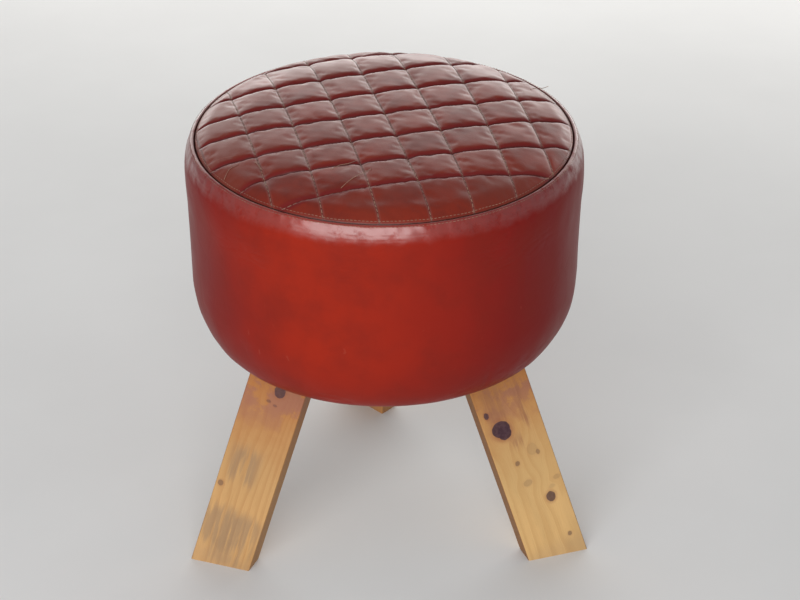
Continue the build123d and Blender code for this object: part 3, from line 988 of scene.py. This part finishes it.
def thread_tail(name, places, lifts):
    """A thin thread over the leather: places in plan, and how far it stands clear at each."""
    curve = bpy.data.curves.new(name, "CURVE")
    curve.dimensions, curve.bevel_depth, curve.bevel_resolution = "3D", thread_radius * MM, 2
    curve.resolution_u, curve.use_fill_caps = 8, True
    spline = curve.splines.new("NURBS")
    spline.points.add(len(places) - 1)
    for point, (x, y), lift in zip(spline.points, places, lifts):
        point.co = (x * MM, (y + axis_y) * MM, (surface_height(x, y) + lift) * MM, 1)
    spline.order_u, spline.use_endpoint_u = 3, True
    return freeze(new_object(name, curve))


tails = [thread_tail("thread_tail_" + name, places, lifts) for name, places, lifts in (
    ("front", [(-17, -108), (-26, -116), (-37.5, -126), (-46, -136)], [0.5, 1.6, 1.2, 0.5]),
    ("left", [(-151.6, -93), (-149, -86), (-144.5, -81), (-138, -79)], [0.5, 0.9, 0.8, 0.4]),
    ("cross", [(-30, -90), (-38, -96), (-46, -98), (-54, -107)], [0.5, 1.6, 1.8, 0.5]),
    ("short", [(-123, -79), (-119.5, -85), (-116.6, -93)], [0.5, 1.0, 0.5]),
    ("rear", [(148, 68), (156.5, 77), (162.5, 85), (168.4, 89.5)], [0.5, 2.0, 3.5, 4.0]))]
print("loose thread ends:", len(tails))

# %% [markdown]
# ## Leather
# Both leathers share one hide group with different values: fine pores, long soft creases, mottled
# dye and a few scratches.


# %% The hide group
def hide_inside(given):
    place = given["Vector"]
    pore_scale = over(1000.0, given["Pore Size"])
    cells = add("ShaderNodeTexVoronoi", {"Vector": place, "Scale": pore_scale},
                feature="SMOOTH_F1")[0]
    fine = noise(place, times(pore_scale, 0.6), 3.0, 0.6)
    pores = plus(times(cells, 0.6), times(fine, 0.4))
    crease_scale = over(1000.0, given["Crease Size"])
    bent = add("ShaderNodeTexNoise", {"Vector": place, "Scale": times(crease_scale, 0.5)})[1]
    warped = vectors("ADD", place, vectors("SCALE", bent, 0.02))
    lines = add("ShaderNodeTexVoronoi", {"Vector": warped, "Scale": crease_scale},
                feature="DISTANCE_TO_EDGE")[0]
    streak = noise(scaled(place, 9.0, 260.0, 60.0, turned=(0.4, 0.9, 0.3)), 1.0, 2.0, 0.5)
    scratches = times(ramp(streak, 0.69, 0.74), ramp(noise(place, 13.0, 2.0), 0.52, 0.66))
    return pores, ramp(lines, 0.0, 0.12), noise(place, 22.0, 8.0, 0.62), scratches


hide = new_group("hide", {"Vector": None, "Pore Size": 1.1, "Crease Size": 14.0},
                 {"Pores": 0.0, "Creases": 0.0, "Mottle": 0.0, "Scratches": 0.0}, hide_inside)

# %% [markdown]
# The wall was dyed and waxed by hand. It is orange red in front. Towards both sides its colour is
# painted darker, to a wine red, as painted shade, set by place and broken up by noise. Polish on
# the shoulder under the seam gives a soft sheen.


# %% Painted shade in the seam's groove, and the polish on the shoulder below it
def seam_inside(given):
    place, width = given["Vector"], given["Width"]
    x, y, z = split(vectors("SUBTRACT", place, (0, axis_y * MM, 0)))
    reach = length_of(join(x, y, 0.0))
    off_seam = maths("ABSOLUTE", minus(reach, (panel_radius + 0.1) * MM))
    wander = times(noise(place, 160.0, 2.0), width)
    # Groove is painted shade: a dark line painted along the seam's groove.
    groove = ramp(off_seam, plus(width, wander), times(width, 0.5))
    below = minus(seam_height * MM, z)
    ragged = plus(below, times(noise(place, 55.0), 0.012))
    rubbed = ramp(noise(place, 90.0, 4.0, 0.6), 0.3, 0.5)
    band = times(ramp(ragged, 0.025, 0.013), ramp(reach, 0.181, 0.1835))
    at_seam = ramp(maths("ABSOLUTE", below), 0.007, 0.005)
    return times(groove, at_seam), times(band, plus(0.45, times(rubbed, 0.55)))


seam_shade_and_polish = new_group("seam shade and polish", {"Vector": None, "Width": 0.0012},
                       {"Groove": 0.0, "Polish": 0.0}, seam_inside)
seam_shade_width, seam_shade_colour = 0.0008, (0.05, 0.011, 0.007)


# %% The wall's leather
def wall_surface(place):
    skin = use_group(hide, Vector=place, Pore_Size=1.0, Crease_Size=26.0)
    seam = use_group(seam_shade_and_polish, Vector=place, Width=seam_shade_width)
    side, _, height = split(place)
    # Painted shade: the colour is painted darker towards both sides of the drum.
    drift = plus(side, times(noise(place, 5.0, 3.0), 0.12))
    shade_at_left = ramp(drift, -0.02, -0.13)
    shade_toward_sides = plus(ramp(drift, 0.0, 0.21), shade_at_left)
    shaded_at_sides = mix(shade_toward_sides, (0.325, 0.021, 0.0085), (0.193, 0.0115, 0.0105))
    cloudy = mix(ramp(skin["Mottle"], 0.35, 0.72), shaded_at_sides, (0.193, 0.0165, 0.0105))
    # Painted shade: the wall is also painted darker towards the bottom, where it turns under.
    tint = stain(mix(0.55, shaded_at_sides, cloudy),
                 (ramp(height, 0.3, 0.24), 0.4, (0.185, 0.0145, 0.0115)),
                 (skin["Scratches"], 0.14, (0.5, 0.13, 0.09)), (seam["Groove"], 0.9, seam_shade_colour))
    normal = bump(times(noise(place, 75.0, 3.0), seam["Polish"]), 0.5, 0.0035)
    normal = bump(skin["Pores"], 0.1, 0.0004, normal)
    normal = bump(skin["Creases"], 0.06, 0.0006, normal)
    normal = bump(skin["Scratches"], 0.2, -0.0002, normal)
    return dict(Base_Color=tint, Roughness=plus(0.3, times(skin["Mottle"], 0.14)), Normal=normal,
                Specular_IOR_Level=0.06, Coat_Weight=seam["Polish"], Coat_Roughness=0.28,
                Coat_IOR=1.8)


# %% The quilted leather
def marked(place, name):
    """An attribute of the panel's mesh, as a number."""
    return add("ShaderNodeAttribute", {}, place.id_data, attribute_name=name)["Fac"]


def quilt_surface(place):
    skin = use_group(hide, Vector=place, Pore_Size=1.1, Crease_Size=9.0)
    seam = use_group(seam_shade_and_polish, Vector=place, Width=seam_shade_width)
    from_row, from_file = marked(place, "from_row"), marked(place, "from_file")
    behind_front_row = ramp(split(place)[1], -0.142, -0.118)
    # Painted shade: the rows' creases are painted near black, less so in the front row, and the
    # files more faintly.
    row_crease_shade = times(ramp(from_row, 0.0022, 0.0), plus(0.3, times(behind_front_row, 0.7)))
    file_line_shade = times(ramp(from_file, 0.001, 0.0005), 0.5)
    crease_shade = maths("MAXIMUM", times(row_crease_shade, 0.75), file_line_shade)
    base = mix(ramp(skin["Mottle"], 0.3, 0.75), (0.24, 0.018, 0.004), (0.14, 0.012, 0.005))
    dull = mix(ramp(noise(place, 9.0, 3.0), 0.4, 0.7), base, (0.19, 0.027, 0.013))
    # Painted shade and painted sheen: a deeper crimson is painted along the rows, and a paler pink
    # along the files.
    worn = stain(dull, (ramp(from_row, 0.0065, 0.002), 0.85, (0.16, 0.005, 0.005)),
                 (ramp(from_file, 0.0026, 0.0008), 0.35, (0.26, 0.09, 0.075)))
    tint = stain(mix(crease_shade, worn, (0.045, 0.004, 0.004)),
                 (skin["Scratches"], 0.25, (0.42, 0.16, 0.11)), (seam["Groove"], 0.9, seam_shade_colour))
    normal = bump(skin["Creases"], 0.02, 0.0006, bump(skin["Pores"], 0.14, 0.0004))
    return dict(Base_Color=tint, Roughness=plus(0.3, times(skin["Mottle"], 0.16)), Normal=normal,
                Specular_IOR_Level=0.4)


# %% The sewing thread
def thread_surface(place):
    fuzz = noise(place, 900.0, 3.0)
    rubbed = ramp(noise(place, 24.0, 3.0), 0.4, 0.6)
    faded = mix(rubbed, (0.4, 0.23, 0.14), (0.19, 0.085, 0.07))
    worn = mix(ramp(fuzz, 0.35, 0.65), faded, (0.3, 0.16, 0.12))
    return dict(Base_Color=worn, Roughness=0.75, Normal=bump(fuzz, 0.5, 0.0003))


# %% [markdown]
# ## Pine
# The planks are flat-sawn pine. Its figure is the tree's rings, cut by the face of the board, so
# the rings are made round an axis that runs beside the plank. Knots push the rings aside, so each
# knot bends the wood around it before the rings are drawn.


# %% The knot group
def knot_inside(given):
    place = given["Vector"]
    x, y, z = split(vectors("SUBTRACT", place, given["Centre"]))
    reach = length_of(join(x, times(y, 0.12), over(z, given["Length"])))
    uneven = minus(noise(place, 260.0, 3.0, 0.6), 0.5)
    share = plus(over(reach, given["Radius"]), times(uneven, given["Ragged"]))
    squared = maths("POWER", over(share, 2.6), 2.0)
    falloff = maths("EXPONENT", times(squared, -1.0))
    shove = join(times(x, times(falloff, -0.62)), 0.0, 0.0)
    core = ramp(share, 1.03, 0.93)
    return shove, core, maths("SUBTRACT", ramp(share, 1.7, 1.0), core, use_clamp=True)


knot = new_group(
    "knot", {"Vector": None, "Centre": None, "Radius": 0.008, "Length": 1.4, "Ragged": 0.3},
    {"Shove": None, "Knot": 0.0, "Halo": 0.0}, knot_inside)


# %% The pine group
def pine_inside(given):
    place = given["Vector"]
    bent = add("ShaderNodeTexNoise", {"Vector": scaled(place, 14.0, 14.0, 2.6), "Scale": 1.0,
                                      "Detail": 3.0})[1]
    swayed = vectors("SCALE", vectors("SUBTRACT", bent, (0.5, 0.5, 0.5)), 0.028)
    from_heart = vectors("SUBTRACT", vectors("ADD", place, swayed), given["Heart"])
    reach = length_of(vectors("MULTIPLY", from_heart, (1.0, 1.0, 0.035)))
    year = maths("FRACT", over(reach, given["Ring Width"]))
    late = times(ramp(year, 0.35, 0.86), ramp(year, 1.0, 0.93))
    fibre = noise(scaled(place, 900.0, 900.0, 22.0), 1.0, 4.0, 0.6)
    return late, fibre, noise(scaled(place, 30.0, 30.0, 9.0), 1.0, 4.0, 0.6)


pine = new_group("pine", {"Vector": None, "Heart": (0.02, -0.05, 0), "Ring Width": 0.0042},
                 {"Late Wood": 0.0, "Fibre": 0.0, "Tone": 0.0}, pine_inside)
leg_ring_width, frame_ring_width = 4.3, 3.2


# %% A plank's own pine, with its knots, dye stain and dirt, and painted light and shade
def plank_surface(place, name, base, late_colour, heart, knots, smears, smear_colour, seed,
                  side_shade):
    """Wood for one leg, in millimetres. knots are (across, up, radius, length, darkness), smears
    are (from, to, across, half width, strength), and side_shade is the painted shade on the
    narrow sides."""
    matrix = plank_matrix(name)
    board = grain = add("ShaderNodeMapping", {
        "Vector": place, "Location": matrix.translation, "Rotation": matrix.to_euler()},
        vector_type="TEXTURE")[0]
    across, _, up = split(board)
    spots, halos = [], []
    for side, height, radius, length, darkness in knots:
        centre = (side * MM, plank_thickness / 2 * MM, height * MM)
        made = use_group(knot, Vector=board, Centre=centre, Radius=radius * MM, Length=length,
                         Ragged=min(0.55, 1.6 / radius))
        grain = vectors("ADD", grain, made["Shove"])
        spots.append(times(made["Knot"], darkness))
        halos.append(times(made["Halo"], darkness))
    wood = use_group(pine, Vector=grain, Heart=tuple(v * MM for v in heart),
                     Ring_Width=leg_ring_width * MM)
    # Painted light: the wood is painted lighter towards the foot.
    lit_toward_foot = mix(ramp(up, 0.13, 0.02), base, tuple(v * 1.22 for v in base))
    tint = stain(mix(ramp(wood["Tone"], 0.3, 0.7), lit_toward_foot, base),
                 (wood["Late Wood"], 0.28, late_colour),
                 (ramp(wood["Fibre"], 0.5, 0.75), 0.22, late_colour))
    shifted = vectors("ADD", board, (seed, 0, 0))
    patch = noise(shifted, 34.0, 5.0, 0.65)
    ragged_up = plus(up, times(patch, 0.07))
    blotch = times(ramp(patch, 0.46, 0.56), ramp(ragged_up, 0.18, 0.23))
    tint = stain(tint, (ramp(ragged_up, 0.12, 0.27), 0.9, (0.4, 0.12, 0.018)),
                 (blotch, 0.55, (0.3, 0.12, 0.1)))
    streaks = noise(scaled(shifted, 150.0, 150.0, 12.0), 1.0, 5.0, 0.62)
    for low, high, side, half, strength in smears:
        edge = plus(up, times(streaks, 0.04))
        band = times(ramp(edge, (low + 12) * MM, (low + 28) * MM),
                     ramp(edge, (high + 28) * MM, (high + 12) * MM))
        off = maths("ABSOLUTE", minus(across, side * MM))
        smear = times(times(band, ramp(off, half * MM, half * 0.4 * MM)), ramp(streaks, 0.36, 0.56))
        tint = stain(tint, (smear, strength, smear_colour))
    tint = stain(tint, *((halo, 0.4, (0.3, 0.09, 0.04)) for halo in halos))
    fleck = ramp(noise(board, 300.0, 3.0, 0.6), 0.35, 0.75)
    heart_wood = mix(fleck, (0.05, 0.017, 0.026), (0.082, 0.036, 0.046))
    for spot in spots:
        tint = mix(spot, tint, heart_wood)
    # Painted shade: the plank's narrow sides are painted darker. The grey at the very foot is real
    # dirt.
    narrow_side_shade = ramp(maths("ABSOLUTE", across), 30.2 * MM, 30.9 * MM)
    tint = stain(tint, (narrow_side_shade, side_shade, (0.26, 0.11, 0.035)),
                 (ramp(up, 0.02, 0.0), 0.2, (0.3, 0.2, 0.14)))
    hollow = plus(wood["Fibre"], times(wood["Late Wood"], 0.6))
    return dict(Base_Color=tint, Roughness=plus(0.5, times(wood["Fibre"], 0.2)),
                Normal=bump(hollow, 0.25, 0.0005), Specular_IOR_Level=0.35)


# %% [markdown]
# ## Plain materials of the hidden pieces
# The frame inside is dressed too: sawn softwood, plywood with its plies, foam with its cells,
# cotton wadding, dark woven cloth and dull plated steel.


# %% Frame wood, plywood, foam, wadding, cloth and steel
def bands(place, scale, distortion, direction, profile="SIN"):
    inputs = {"Vector": place, "Scale": scale, "Distortion": distortion}
    return add("ShaderNodeTexWave", inputs, bands_direction=direction, wave_profile=profile)[1]


def frame_wood_surface(place):
    wood = use_group(pine, Vector=place, Heart=(0.09, -0.2, 0.0), Ring_Width=frame_ring_width * MM)
    base = mix(wood["Tone"], (0.56, 0.36, 0.17), (0.44, 0.27, 0.12))
    ringed = stain(base, (wood["Late Wood"], 0.6, (0.36, 0.18, 0.07)))
    saw_marks = bands(place, 180.0, 2.0, "Z")
    return dict(Base_Color=ringed, Roughness=0.75, Normal=bump(saw_marks, 0.2, 0.0003))


def plywood_surface(place):
    face = noise(scaled(place, 6.0, 140.0, 140.0), 1.0, 5.0, 0.6)
    plies = ramp(bands(place, 105.0, 0.0, "Z", "SAW"), 0.45, 0.55)
    base = mix(face, (0.56, 0.37, 0.19), (0.42, 0.25, 0.11))
    layered = stain(base, (plies, 0.25, (0.28, 0.15, 0.07)))
    return dict(Base_Color=layered, Roughness=0.65, Normal=bump(face, 0.2, 0.0003))


def padding_surface(place, light, dark, scale, depth):
    cells = add("ShaderNodeTexVoronoi", {"Vector": place, "Scale": scale})[0]
    tint = mix(plus(noise(place, 14.0), -0.1), light, dark)
    return dict(Base_Color=tint, Roughness=0.95, Normal=bump(cells, 0.6, depth))


def dark_cloth_surface(place):
    weave = times(*(bands(place, 240.0, 0.4, direction) for direction in "XY"))
    dusty = mix(ramp(noise(place, 12.0, 6.0, 0.65), 0.4, 0.75), (0.022, 0.02, 0.021),
                (0.075, 0.066, 0.058))
    return dict(Base_Color=stain(dusty, (weave, 0.5, (0.012, 0.011, 0.012))), Roughness=0.92,
                Normal=bump(weave, 0.6, 0.0004), Sheen_Weight=0.2)


def steel_surface(place):
    spangle = add("ShaderNodeTexVoronoi", {"Vector": place, "Scale": 420.0})[1]
    grey = add("ShaderNodeRGBToBW", {0: spangle})[0]
    tarnish = ramp(noise(place, 160.0, 5.0, 0.7), 0.5, 0.75)
    bright = mix(grey, (0.5, 0.49, 0.46), (0.38, 0.37, 0.35))
    return dict(Base_Color=mix(tarnish, bright, (0.2, 0.12, 0.07)), Metallic=0.9,
                Roughness=plus(0.35, times(tarnish, 0.3)), Normal=bump(grey, 0.1, 0.0002))


# %% Which material each node takes
thread = new_material("sewing thread", thread_surface)
by_slot = {
    "frame_wood": new_material("sawn softwood", frame_wood_surface),
    "plywood": new_material("plywood", plywood_surface),
    "foam": new_material(
        "foam", padding_surface, (0.75, 0.66, 0.42), (0.66, 0.55, 0.32), 700.0, 0.0006),
    "wadding": new_material(
        "cotton wadding", padding_surface, (0.78, 0.75, 0.68), (0.7, 0.66, 0.58), 160.0, 0.0015),
    "under_cloth": new_material("dark woven cloth", dark_cloth_surface),
    "steel": new_material("plated steel", steel_surface),
    "wall_leather": new_material("wall leather", wall_surface),
    "quilted_leather": new_material("quilted leather", quilt_surface)}
planks = {
    "left": ((0.55, 0.31, 0.12), (0.4, 0.18, 0.055), (34, -46, 0),
             [(25.3, 81, 3.0, 1.1, 0.55), (-4.5, 197, 6, 1.2, 0.85), (3.7, 183, 2.6, 0.6, 0.5),
              (-4, 181, 2.2, 0.6, 0.45)],
             [(92, 128, 8, 22, 0.5), (18, 60, 2, 46, 0.55), (0, 22, -4, 30, 0.35)],
             (0.23, 0.155, 0.105), 1.0, 0.6),
    "right": ((0.61, 0.375, 0.15), (0.5, 0.26, 0.085), (-30, -52, 0),
              [(12.8, 151.4, 9.8, 0.92, 0.97), (10.6, 146.6, 7.4, 1.05, 0.97),
               (-13.1, 61, 5.0, 1.15, 0.85), (22.6, 171, 2.6, 1.5, 0.9),
               (8.5, 109.8, 2.4, 1.1, 0.55), (-19.2, 14, 2.4, 1.0, 0.6),
               (-15.4, 112.6, 2.0, 1.4, 0.45), (-10.6, 118, 5.6, 1.2, 0.14),
               (4.9, 85.4, 5.0, 0.7, 0.25), (-25.5, 78.7, 4.2, 0.6, 0.2),
               (-17.6, 71.2, 3.2, 0.7, 0.15)],
              [(146, 190, -15, 6, 0.7), (126, 140, 1, 11, 0.6), (160, 200, 12, 14, 0.55)],
              (0.3, 0.12, 0.06), 5.0, 0.95),
    "rear": ((0.55, 0.26, 0.085), (0.42, 0.16, 0.05), (20, -60, 0), [(8, 120, 6, 1.2, 0.8)],
             [(10, 50, 0, 26, 0.4)], (0.21, 0.16, 0.12), 9.0, 0.6)}
leg_pine = {name: new_material(f"pine of the {name} leg", plank_surface, name, *values)
            for name, values in planks.items()}


def dress(piece, material):
    piece.data.materials.clear()
    piece.data.materials.append(material)


slot_of = {part["node"]: part["material_slot"] for part in frame["record"]["subparts"]}
for name, node in nodes.items():
    leg = name.removesuffix("_leg")
    dress(node, leg_pine[leg] if leg in leg_pine else by_slot[slot_of[name]])
print("materials:", len(bpy.data.materials))

# %% [markdown]
# ## Dress the soft pieces and sew them
# Each new piece takes its material, stands for the solid that it replaces, and rides on the only
# body there is, because nothing on this pouf moves.

# %% Sew and tack
seam_stitch = dict(Pitch=0.0036, Length=0.0027, Thickness=0.0006, Waver=0.1)
for piece, seed, sizes in (
        (quilting, 3, dict(Pitch=0.0056, Length=0.0047, Thickness=0.00085, Waver=0.12)),
        (seam_inner, 4, seam_stitch), (seam_outer, 5, seam_stitch),
        (back_stitches, 6, dict(Pitch=0.0056, Length=0.0044, Thickness=0.0008, Waver=0.06))):
    run_tree(piece, stitches, Seed=seed, Thread=thread, **sizes)
for ring in tack_rings.values():
    run_tree(ring, tacks, Seed=7, Steel=by_slot["steel"])
for piece in tails:
    dress(piece, thread)
    smooth(piece)

# %% Dress each piece, put it on its body, and hide the solid that it stands for
sewn = [quilting, seam_inner, seam_outer, back_stitches, *tails]
for piece in sewn:
    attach(piece, "root")
    report(piece)
for piece, node, slot in ((quilted_panel, "top_cover", "quilted_leather"),
                          (leather_wall, "side_band", "wall_leather"),
                          (dust_cloth, "dust_cover", "under_cloth"),
                          (wadding, "quilt_wadding", "wadding"),
                          (backing, "quilt_backing", "under_cloth"),
                          (seat_cushion, "seat_foam", "foam"), (wall_padding, "side_foam", "foam"),
                          *((ring, node, "steel") for node, ring in tack_rings.items())):
    if slot != "steel":
        dress(piece, by_slot[slot])
    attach(piece, "root")
    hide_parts(node)
    report(piece)

# %% [markdown]
# ## Floor, light and camera
# The floor is plain and pale. A large lamp in front, a little to the left, is the window, and the
# top mirrors two wide lamps behind as a dull sheen. The camera stands where the photographer stood,
# about 1.9 m in front, and looks down by 31 degrees.


# %% Floor
def floor_surface(place):
    speckle = mix(ramp(noise(place, 3.0, 6.0), 0.3, 0.7), (0.76, 0.76, 0.755), (0.73, 0.73, 0.725))
    return dict(Base_Color=speckle, Roughness=0.85, Specular_IOR_Level=0.2)


floor_reach = 6000
floor = make_piece("floor", [(x * floor_reach, y * floor_reach, 0)
                             for x, y in ((-1, -1), (1, -1), (1, 1), (-1, 1))], [(0, 1, 2, 3)])
dress(floor, new_material("pale floor", floor_surface))


# %% Lamps and world
def toward(piece, target):
    """Turn a lamp or a camera to look at a place."""
    aim = Vector(target) - piece.location
    piece.rotation_euler = aim.to_track_quat("-Z", "Y").to_euler()


for name, place, target, size, power, tint in (
        ("window", (-0.7, -2.35, 1.3), (0, 0, 0.35), (2.6, 1.7), 54, (1, 1, 1)),
        ("white wall", (0.3, 2.2, 1.25), (0, 0, 0.42), (4.4, 1.5), 30, (1, 0.965, 0.92)),
        ("foot of the wall", (0.5, 2.3, 0.5), (0, 0, 0.42), (4.4, 0.6), 30, (1, 0.98, 0.95))):
    light = bpy.data.lights.new(name, "AREA")
    light.shape, light.size, light.size_y = "RECTANGLE", size[0], size[1]
    light.energy, light.color = power, tint
    lamp = new_object(name, light)
    lamp.location, lamp.visible_camera = place, False
    toward(lamp, target)
world = bpy.data.worlds.new("studio")
bpy.context.scene.world = world
world.use_nodes = True
feed(world.node_tree.nodes["Background"], {0: (0.94, 0.97, 1.0, 1.0), 1: 0.33})

# %% Camera
camera = new_object("camera", bpy.data.cameras.new("camera"))
camera.data.lens, camera.data.sensor_width, camera.data.clip_end = 96.9, 36, 50
camera.location = (-0.0943, -1.8652, 1.3532)
toward(camera, (0.0151, -0.0194, 0.246))
bpy.context.scene.camera = camera
bpy.context.scene.view_settings.view_transform = "Standard"
